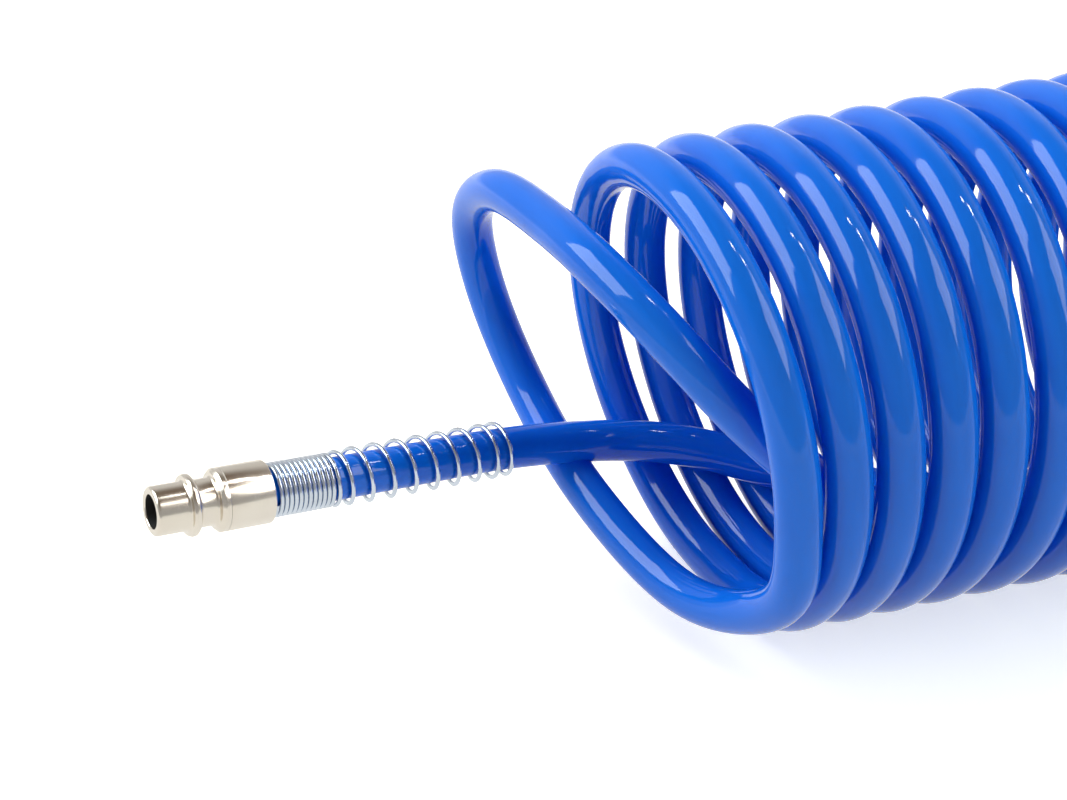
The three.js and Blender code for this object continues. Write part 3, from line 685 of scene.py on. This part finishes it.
def add_plug():
    outline = rounded(
        [
            # Nose
            (0, PLUG_BORE, 0.3),
            (0, NOSE_RADIUS, 0.75),
            (7.1, NOSE_RADIUS, 0.95),
            # Collar, stepped on its far side
            (7.3, COLLAR_RADIUS - 0.3, 0.25),
            (7.9, COLLAR_RADIUS, 0.5),
            (8.65, COLLAR_RADIUS - 0.05, 0.5),
            (8.97, COLLAR_RADIUS - 0.5, 0.1),
            (9.05, COLLAR_RADIUS - 0.75, 0.05),
            (9.17, COLLAR_RADIUS - 0.7, 0.05),
            (9.3, COLLAR_RADIUS - 0.95, 0.1),
            # Neck and shoulder
            (9.45, NECK_RADIUS, 0.2),
            (13.1, NECK_RADIUS, 0.8),
            (13.35, SHOULDER_RADIUS - 0.75, 0.6),
            (14.1, SHOULDER_RADIUS - 0.02, 0.12),
            (PLUG_FACE, SHOULDER_RADIUS, 0.05),
            # Barb, and back through the bore
            *barb_corners(PLUG_FACE),
            (PLUG_FACE + BARB_LENGTH, BARB_BORE),
            (PLUG_FACE, BARB_BORE),
            (PLUG_FACE - 1.4, PLUG_BORE),
        ]
    )
    piece = placed("plug_turned", *turned(outline), plug_frame, NICKEL, "nickel_plate")
    darken_bore(piece, BORE_EDGE, PLUG_BORE + 0.1)
    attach(piece, "plug_end")
    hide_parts("plug_body")
    add_ferrule("plug", plug_frame, PLUG_FACE, "plug_end")
    add_guard_spring("plug", plug_frame, PLUG_FACE, "plug_end")


add_plug()

# ---- Coupler ----


def bored(piece, tools, operation="DIFFERENCE"):
    """Cuts tool meshes from a piece, or joins them to it, and takes the tools away."""
    for tool in tools:
        change = piece.modifiers.new("cut", "BOOLEAN")
        change.operation = operation
        change.solver = "EXACT"
        change.object = tool
    bpy.context.view_layer.update()
    graph = bpy.context.evaluated_depsgraph_get()
    shaped = bpy.data.meshes.new_from_object(piece.evaluated_get(graph))
    piece.modifiers.clear()
    piece.data = shaped
    for tool in tools:
        bpy.data.objects.remove(tool)
    smooth(shaped)


def add_tool(verts, faces, turn=Matrix.Identity(4)):
    """A shape to cut with, in the coupler's frame."""
    return added("tool", verts, faces, coupler_frame @ turn)


def turned_piece(name, corners, material, slot, body, *nodes, **how):
    """A piece of the coupler from (along, radius, fillet) corners, on the body that carries it."""
    piece = placed(name, *turned(rounded(corners), **how), coupler_frame, material, slot)
    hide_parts(*nodes)
    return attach(piece, body)


def around(count):
    """Turns about the axis, evenly spread."""
    return [Matrix.Rotation(2 * math.pi * i / count, 4, "X") for i in range(count)]


BALL_HOLE_RADIUS = BALL_RADIUS + 0.15
BALL_HOLE = (5.5, 10.5)  # from and to which radius each hole runs, past both sides of the wall


def add_body():
    groove = BODY_FRONT_RADIUS - RING_DEPTH
    body = turned_piece(
        "coupler_body_turned",
        [
            (0, MOUTH_BORE + 0.7, 0.2),
            (0, BODY_FRONT_RADIUS, 0.5),
            (RING_START - CLEARANCE, BODY_FRONT_RADIUS, 0.1),
            (RING_START - CLEARANCE, groove),
            (RING_START + RING_WIDTH + CLEARANCE, groove),
            (RING_START + RING_WIDTH + CLEARANCE, BODY_FRONT_RADIUS, 0.1),
            (BODY_FLANGE_START, BODY_FRONT_RADIUS),
            (BODY_FLANGE_START, BODY_FLANGE_RADIUS, 0.15),
            (29.4, BODY_FLANGE_RADIUS, 0.1),
            (29.6, BODY_FLANGE_RADIUS - 0.4, 0.2),
            (30.6, BODY_FLANGE_RADIUS - 0.4, 0.2),
            (30.8, BODY_FLANGE_RADIUS, 0.1),
            (BODY_LENGTH, BODY_FLANGE_RADIUS, 0.6),
            (BODY_LENGTH, SOCKET_RADIUS, 0.1),
            (SOCKET_START, SOCKET_RADIUS),
            (SOCKET_START, VALVE_CHAMBER),
            (VALVE_SEAT, VALVE_CHAMBER),
            (VALVE_SEAT, NOSE_BORE),
            (NOSE_SEAL_START + NOSE_SEAL_WIDTH, NOSE_BORE),
            (NOSE_SEAL_START + NOSE_SEAL_WIDTH, NOSE_BORE + NOSE_SEAL_DEPTH),
            (NOSE_SEAL_START, NOSE_BORE + NOSE_SEAL_DEPTH),
            (NOSE_SEAL_START, NOSE_BORE, 0.1),
            (NOSE_BORE_START + 0.8, NOSE_BORE, 0.3),
            (NOSE_BORE_START, MOUTH_BORE, 0.2),
            (0.7, MOUTH_BORE, 0.3),
        ],
        NICKEL, "nickel_plate", "coupler_end", "coupler_body",
    )
    inner, outer = BALL_HOLE
    wall = BALL_HOLE_RADIUS
    hole = turned([(inner, 0), (inner, wall), (outer, wall), (outer, 0)], sides=24)
    out = Matrix.Translation((BALL_PLACE * MM, 0, 0)) @ Matrix.Rotation(math.radians(90), 4, "Z")
    bored(body, [add_tool(*hole, turn @ out) for turn in around(BALL_COUNT)])


def add_balls():
    shape = bmesh.new()
    bmesh.ops.create_uvsphere(shape, u_segments=28, v_segments=18, radius=BALL_RADIUS)
    verts = [v.co.copy() for v in shape.verts]
    faces = [[v.index for v in f.verts] for f in shape.faces]
    shape.free()
    for i, turn in enumerate(around(BALL_COUNT)):
        matrix = coupler_frame @ turn @ Matrix.Translation((BALL_PLACE * MM, BALL_CENTRE * MM, 0))
        ball = placed(
            f"ball_{i + 1}_ground", verts, faces, matrix, STEEL, "bearing_steel", sharp=90
        )
        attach(ball, f"ball_{i + 1}")
        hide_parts(f"locking_ball_{i + 1}")


FLUTES = 30
FLUTE_DEPTH = 0.55
GRIP = (8.4, 22.6)  # from and to where the sleeve is fluted
RIM_RADIUS = SLEEVE_RADIUS - 0.9


def flute(along, radius, angle):
    """How far the sleeve's grip dips into each flute, as a growth of the radius."""
    inside = GRIP[0] < along < GRIP[1] and radius > RIM_RADIUS
    return -FLUTE_DEPTH * (0.5 + 0.5 * math.cos(FLUTES * angle)) ** 0.7 if inside else 0


def add_sleeve():
    land = BODY_FRONT_RADIUS + CLEARANCE
    bore = BODY_FLANGE_RADIUS + CLEARANCE
    low, grip = SLEEVE_RADIUS - 0.75, SLEEVE_RADIUS - 0.05
    turned_piece(
        "coupler_sleeve_turned",
        [
            (SLEEVE_START, SLEEVE_FRONT_BORE, 0.25),
            (SLEEVE_START, RIM_RADIUS, 0.5),
            (1.6, SLEEVE_RADIUS, 0.9),
            (5.4, SLEEVE_RADIUS, 0.5),
            (5.9, low, 0.4),
            (7.4, low, 0.4),
            (7.9, SLEEVE_RADIUS - 0.45, 0.1),
            (8.2, SLEEVE_RADIUS - 0.1, 0.1),
            (8.5, grip),
            (15.5, grip),
            (22.5, grip),
            (22.8, SLEEVE_RADIUS - 0.1, 0.1),
            (23.1, SLEEVE_RADIUS - 0.45, 0.1),
            (23.5, low, 0.4),
            (24.6, low, 0.4),
            (25.1, SLEEVE_RADIUS, 0.4),
            (SLEEVE_END, SLEEVE_RADIUS, 0.8),
            (SLEEVE_END, bore, 0.1),
            (SLEEVE_SHOULDER, bore),
            (SLEEVE_SHOULDER, land),
            (BALL_PLACE, land),
            (SLEEVE_LIP, land + 0.7),
            (SLEEVE_LIP, SLEEVE_FRONT_BORE),
        ],
        NICKEL, "nickel_plate", "sleeve", "coupler_sleeve", sides=FLUTES * 8, swell=flute,
    )


def ring_corners(start, width, inner, outer, fillet=0.45):
    """The outline of a ring, rounded at all four corners."""
    return [
        (start, inner, fillet),
        (start, outer, fillet),
        (start + width, outer, fillet),
        (start + width, inner, fillet),
    ]


POPPET_SEAL_WIDTH = 1
SPIGOT_RADIUS = SOCKET_RADIUS - CLEARANCE


def add_seals_and_ring():
    ring_bore = BODY_FRONT_RADIUS - RING_DEPTH + 0.1
    turned_piece(
        "retaining_ring_split",
        ring_corners(RING_START, RING_WIDTH, ring_bore, RING_OUTER_RADIUS, 0.12),
        STEEL, "spring_steel", "coupler_end", "sleeve_retaining_ring", share=0.95,
    )
    rubber = (RUBBER, "seal_rubber")
    turned_piece(
        "plug_seal_ring",
        ring_corners(
            NOSE_SEAL_START + CLEARANCE, NOSE_SEAL_WIDTH - 2 * CLEARANCE, NOSE_RADIUS + 0.05,
            NOSE_BORE + NOSE_SEAL_DEPTH - CLEARANCE, 0.7,
        ),
        *rubber, "coupler_end", "plug_seal",
    )
    turned_piece(
        "poppet_seal_ring",
        ring_corners(
            VALVE_SEAT + CLEARANCE, POPPET_SEAL_WIDTH, POPPET_TUBE_RADIUS + CLEARANCE,
            POPPET_DISC_RADIUS,
        ),
        *rubber, "valve", "poppet_seal",
    )
    turned_piece(
        "adapter_seal_ring",
        ring_corners(
            ADAPTER_SEAL_START, ADAPTER_SEAL_WIDTH, SPIGOT_RADIUS - ADAPTER_SEAL_DEPTH + CLEARANCE,
            SPIGOT_RADIUS, 0.35,
        ),
        *rubber, "coupler_end", "adapter_seal",
    )


PORT_END = 0.6  # from the poppet's inner floor
PORT_LENGTH = 3.4
PORT_WIDTH = 2.6
PORT_REACH = 7  # past the poppet's tube on both sides


def add_poppet():
    floor = POPPET_DISC_START - 0.5
    poppet = turned_piece(
        "valve_poppet_turned",
        [
            (POPPET_FRONT, POPPET_TUBE_BORE, 0.3),
            (POPPET_FRONT, POPPET_TUBE_RADIUS, 0.4),
            (POPPET_DISC_START, POPPET_TUBE_RADIUS),
            (POPPET_DISC_START, POPPET_DISC_RADIUS, 0.15),
            (POPPET_DISC_END, POPPET_DISC_RADIUS, 0.3),
            (POPPET_DISC_END, POPPET_STEM_RADIUS, 0.3),
            (POPPET_DISC_END + POPPET_STEM_LENGTH, POPPET_STEM_RADIUS, 0.4),
            (POPPET_DISC_END + POPPET_STEM_LENGTH, 0),
            (floor, 0),
            (floor, POPPET_TUBE_BORE, 0.2),
        ],
        BRASS, "valve_brass", "valve", "valve_poppet",
    )
    stop = floor - PORT_END
    port = [
        (x, y, z)
        for x in (stop - PORT_LENGTH, stop)
        for y in (-PORT_REACH, PORT_REACH)
        for z in (-PORT_WIDTH / 2, PORT_WIDTH / 2)
    ]
    sides = [(0, 1, 3, 2), (4, 6, 7, 5), (0, 4, 5, 1), (2, 3, 7, 6), (0, 2, 6, 4), (1, 5, 7, 3)]
    bored(poppet, [add_tool(port, sides, turn) for turn in around(4)[:2]])


HEX_SHORT = HEX_ACROSS_FLATS / 2  # from the middle to a flat
HEX_LONG = HEX_ACROSS_FLATS / math.sqrt(3)  # and to a corner
HEX_CHAMFER = 0.6


def add_adapter():
    """The rear piece: a turned spigot and barb, joined to a hexagon with turned corners."""
    front = SOCKET_START + CLEARANCE
    spring_seat = POPPET_DISC_END + 2 * CLEARANCE + VALVE_SPRING_LENGTH
    groove_end = ADAPTER_SEAL_START + ADAPTER_SEAL_WIDTH + CLEARANCE
    middle = HEX_START + HEX_LENGTH / 2
    adapter = turned_piece(
        "coupler_adapter_turned",
        [
            (front, SPIGOT_RADIUS, 0.3),
            (ADAPTER_SEAL_START - CLEARANCE, SPIGOT_RADIUS, 0.1),
            (ADAPTER_SEAL_START - CLEARANCE, SPIGOT_RADIUS - ADAPTER_SEAL_DEPTH),
            (groove_end, SPIGOT_RADIUS - ADAPTER_SEAL_DEPTH),
            (groove_end, SPIGOT_RADIUS, 0.1),
            (middle, SPIGOT_RADIUS),
            (middle, BARB_RADIUS),
            *barb_corners(COUPLER_FACE),
            (COUPLER_FACE + BARB_LENGTH, BARB_BORE),
            (spring_seat, BARB_BORE),
            (spring_seat, ADAPTER_BORE),
            (front, ADAPTER_BORE, 0.2),
        ],
        NICKEL, "nickel_plate", "coupler_end", "coupler_adapter",
    )
    hexagon = turned(
        [
            (HEX_START, BARB_BORE),
            (HEX_START, HEX_LONG),
            (COUPLER_FACE, HEX_LONG),
            (COUPLER_FACE, BARB_BORE),
        ],
        sides=6,
    )
    chamfer = turned(
        [
            (HEX_START - 1, 0),
            (HEX_START - 1, HEX_SHORT - 2.1),
            (HEX_START + HEX_CHAMFER, HEX_SHORT + 0.66),
            (middle, HEX_LONG + 1),
            (COUPLER_FACE - HEX_CHAMFER, HEX_SHORT + 0.66),
            (COUPLER_FACE + 1, HEX_SHORT - 2.1),
            (COUPLER_FACE + 1, 0),
        ],
        sides=96,
    )
    nut = add_tool(*hexagon)
    bored(nut, [add_tool(*chamfer)], "INTERSECT")
    bored(adapter, [nut], "UNION")


INNER_STEPS = 28
INNER_SIDES = 10
INNER_GAP = 0.1  # between an inner spring and what it presses on
SLEEVE_WIRE_RADIUS = 0.5
VALVE_WIRE_RADIUS = 0.4


def add_inner_spring(name, start, length, radius, wire, curls, node, other):
    """A spring round the coupler's axis, made in place of its imported node."""
    path = []
    steps = round(curls * INNER_STEPS)
    for i in range(steps + 1):
        angle = 2 * math.pi * i / INNER_STEPS
        along = start + wire + (length - 2 * wire) * i / steps
        path.append((along, radius * math.sin(angle), radius * math.cos(angle)))
    verts, faces, _ = tube(path, wire, INNER_SIDES)
    spring = placed(name, verts, faces, coupler_frame, WIRE, "spring_steel", sharp=50)
    if other == "sleeve":
        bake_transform(spring)
    else:
        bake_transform(spring)
    co = np.empty(len(spring.data.vertices) * 3)
    spring.data.vertices.foreach_get("co", co)
    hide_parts(node)


add_body()
add_balls()
add_sleeve()
add_seals_and_ring()
add_poppet()
add_adapter()
add_ferrule("coupler", coupler_frame, COUPLER_FACE, "coupler_end")
add_guard_spring("coupler", coupler_frame, COUPLER_FACE, "coupler_end")
add_inner_spring(
    "sleeve_spring_wire", SLEEVE_SHOULDER + INNER_GAP,
    BODY_FLANGE_START - SLEEVE_SHOULDER - 2 * INNER_GAP,
    (BODY_FRONT_RADIUS + BODY_FLANGE_RADIUS + CLEARANCE) / 2, SLEEVE_WIRE_RADIUS,
    SLEEVE_SPRING_CURLS, "sleeve_spring", "sleeve",
)
add_inner_spring(
    "valve_spring_wire", POPPET_DISC_END + INNER_GAP, VALVE_SPRING_LENGTH + CLEARANCE,
    VALVE_SPRING_RADIUS, VALVE_WIRE_RADIUS, VALVE_SPRING_CURLS, "valve_spring", "valve",
)

# ---- Floor, world and lamps ----

# Matt share and glow of the floor by the object, where the camera sees it and where a glossy
# surface does. The glow rises to white from FLOOR_NEAR to FLOOR_FAR metres out, past the lamps
FLOOR_SHOWN = (0.98, 0.62)
FLOOR_MIRRORED = (0.25, 0.75)
FLOOR_NEAR, FLOOR_FAR = 0.4, 0.9
FLOOR_REACH = 4
FLOOR_DROP = 0.0001  # below the flats under the coil
FLOOR_MATT = (0.7, 0.7, 0.7, 1)
FLOOR_GLOW = (0.99, 0.995, 1, 1)

# The room. Heights and depths are those of a direction, from -1 to 1, and depth grows backwards
BACKDROP = (0.7, 0.69, 0.68, 1)
BACKDROP_HEIGHTS = (0.86, 0.42)  # between which it comes in, downwards
BACKDROP_DEPTHS = (-0.1, 0.45)
WALLS = (0.42, 0.42, 0.42, 1)
CEILING = (0.17, 0.125, 0.09, 1)
CEILING_HEIGHTS = (0.4, 0.85)
UNLIT = (0.03, 0.03, 0.03, 1)  # for matt surfaces, which the lamps light
WHITE = (1, 1, 1, 1)


def link_all(tree, *pairs):
    for source, target in pairs:
        tree.links.new(source, target)


def smooth_range(tree, begin, end, **ends):
    """A value that goes smoothly from 0 to 1, or between other ends, over a range of its input."""
    inputs = {"From Min": begin, "From Max": end, **ends}
    return add_node(tree, "ShaderNodeMapRange", inputs, interpolation_type="SMOOTHSTEP")


def add_floor():
    far = FLOOR_REACH
    corners = [(-far, -far, 0), (far, -far, 0), (far, far, 0), (-far, far, 0)]
    mesh = bpy.data.meshes.new("floor")
    mesh.from_pydata(corners, [], [(0, 1, 2, 3)])
    floor = bpy.data.objects.new("floor", mesh)
    floor.location.z = -FLOOR_DROP
    bpy.context.scene.collection.objects.link(floor)
    material = bpy.data.materials.new("floor")
    material.use_nodes = True
    tree = material.node_tree
    tree.nodes.clear()
    out = add_node(tree, "ShaderNodeOutputMaterial")
    path = add_node(tree, "ShaderNodeLightPath")
    place = add_node(tree, "ShaderNodeTexCoord")
    distance = add_node(tree, "ShaderNodeVectorMath", operation="LENGTH")
    tree.links.new(place.outputs["Object"], distance.inputs[0])
    so_far = add_node(tree, "ShaderNodeBsdfDiffuse", {"Color": FLOOR_MATT})
    for ray, (matt, glow) in (("Is Glossy Ray", FLOOR_MIRRORED), ("Is Camera Ray", FLOOR_SHOWN)):
        warm = (matt, 0.96 * matt, 0.84 * matt, 1)
        shown = add_node(tree, "ShaderNodeBsdfDiffuse", {"Color": warm})
        rise = smooth_range(tree, FLOOR_NEAR, FLOOR_FAR, **{"To Min": glow, "To Max": 1.0})
        light = add_node(tree, "ShaderNodeEmission", {"Color": FLOOR_GLOW})
        both = add_node(tree, "ShaderNodeAddShader")
        mix = add_node(tree, "ShaderNodeMixShader")
        link_all(
            tree,
            (distance.outputs["Value"], rise.inputs["Value"]),
            (rise.outputs[0], light.inputs["Strength"]),
            (shown.outputs[0], both.inputs[0]),
            (light.outputs[0], both.inputs[1]),
            (path.outputs[ray], mix.inputs["Fac"]),
            (so_far.outputs[0], mix.inputs[1]),
            (both.outputs[0], mix.inputs[2]),
        )
        so_far = mix
    tree.links.new(so_far.outputs[0], out.inputs["Surface"])
    mesh.materials.append(material)


def color_mix(tree, first=WHITE, second=WHITE):
    """A blend of two colours, either of which a link may take over."""
    mix = add_node(tree, "ShaderNodeMix", data_type="RGBA")
    mix.inputs["A"].default_value = first
    mix.inputs["B"].default_value = second
    return mix


def add_world():
    """White for the camera, and for mirrored rays a pale backdrop in a dimmer room."""
    world = bpy.data.worlds.new("studio")
    bpy.context.scene.world = world
    world.use_nodes = True
    tree = world.node_tree
    tree.nodes.clear()
    out = add_node(tree, "ShaderNodeOutputWorld")
    room = add_node(tree, "ShaderNodeBackground")
    place = add_node(tree, "ShaderNodeTexCoord")
    split = add_node(tree, "ShaderNodeSeparateXYZ")
    low = smooth_range(tree, *BACKDROP_HEIGHTS)
    back = smooth_range(tree, *BACKDROP_DEPTHS)
    start, full = CEILING_HEIGHTS
    high = add_node(tree, "ShaderNodeMapRange", {"From Min": start, "From Max": full})
    behind = add_node(tree, "ShaderNodeMath", operation="MULTIPLY")
    dim = color_mix(tree, WALLS, CEILING)
    mirrored = color_mix(tree, second=BACKDROP)
    falling = color_mix(tree, UNLIT)
    seen = color_mix(tree, second=WHITE)
    path = add_node(tree, "ShaderNodeLightPath")
    link_all(
        tree,
        (place.outputs["Generated"], split.inputs[0]),
        (split.outputs["Z"], low.inputs["Value"]),
        (split.outputs["Y"], back.inputs["Value"]),
        (split.outputs["Z"], high.inputs["Value"]),
        (low.outputs[0], behind.inputs[0]),
        (back.outputs[0], behind.inputs[1]),
        (high.outputs[0], dim.inputs["Factor"]),
        (dim.outputs["Result"], mirrored.inputs["A"]),
        (behind.outputs[0], mirrored.inputs["Factor"]),
        (mirrored.outputs["Result"], falling.inputs["B"]),
        (path.outputs["Is Glossy Ray"], falling.inputs["Factor"]),
        (falling.outputs["Result"], seen.inputs["A"]),
        (path.outputs["Is Camera Ray"], seen.inputs["Factor"]),
        (seen.outputs["Result"], room.inputs["Color"]),
        (room.outputs[0], out.inputs["Surface"]),
    )


LAMP_CENTRE = Vector((-0.04, 0, 0.05))
LAMP_DISTANCE = 1.2


def add_lamp(name, azimuth, elevation, size, level, mirrored, color=(1, 1, 1)):
    """A softbox that faces the coil from an azimuth and elevation in degrees.

    level 1 is as bright as white. A mirrored one shows in glossy surfaces only, and any other
    lights matt surfaces only.
    """
    way = heading(math.radians(azimuth), math.radians(elevation))
    light = bpy.data.lights.new(name, "AREA")
    light.shape = "RECTANGLE"
    light.size, light.size_y = size
    light.energy = level * math.pi * size[0] * size[1]
    light.color = color
    lamp = bpy.data.objects.new(name, light)
    lamp.location = LAMP_CENTRE + way * LAMP_DISTANCE
    lamp.rotation_euler = way.to_track_quat("Z", "Y").to_euler()
    lamp.visible_glossy = mirrored
    lamp.visible_diffuse = not mirrored
    bpy.context.scene.collection.objects.link(lamp)


add_floor()
add_world()

# Seen in glossy surfaces
add_lamp("left_box", 284, 44, (0.95, 0.85), 6, True, (0.86, 0.96, 1))
add_lamp("right_box", 118, 41, (0.8, 0.7), 4, True, (1, 0.99, 0.97))
add_lamp("spark_high", 78, 70, (0.07, 0.13), 30, True)
add_lamp("spark_low", 85, 57, (0.07, 0.13), 30, True)

# Lighting matt surfaces
add_lamp("right_key", 118, 41, (1, 1), 4.6, False, (0.9, 1, 0.92))
add_lamp("back_fill", 330, 45, (1, 1), 3.9, False)
add_lamp("left_fill", 270, 15, (1, 1), 2.7, False)
add_lamp("low_fill", 150, 9, (1, 0.5), 2.2, False, (0.9, 1, 0.97))
add_lamp("rear_fill", 0, 50, (1, 1), 0.6, False)

bpy.context.scene.view_settings.view_transform = "Standard"
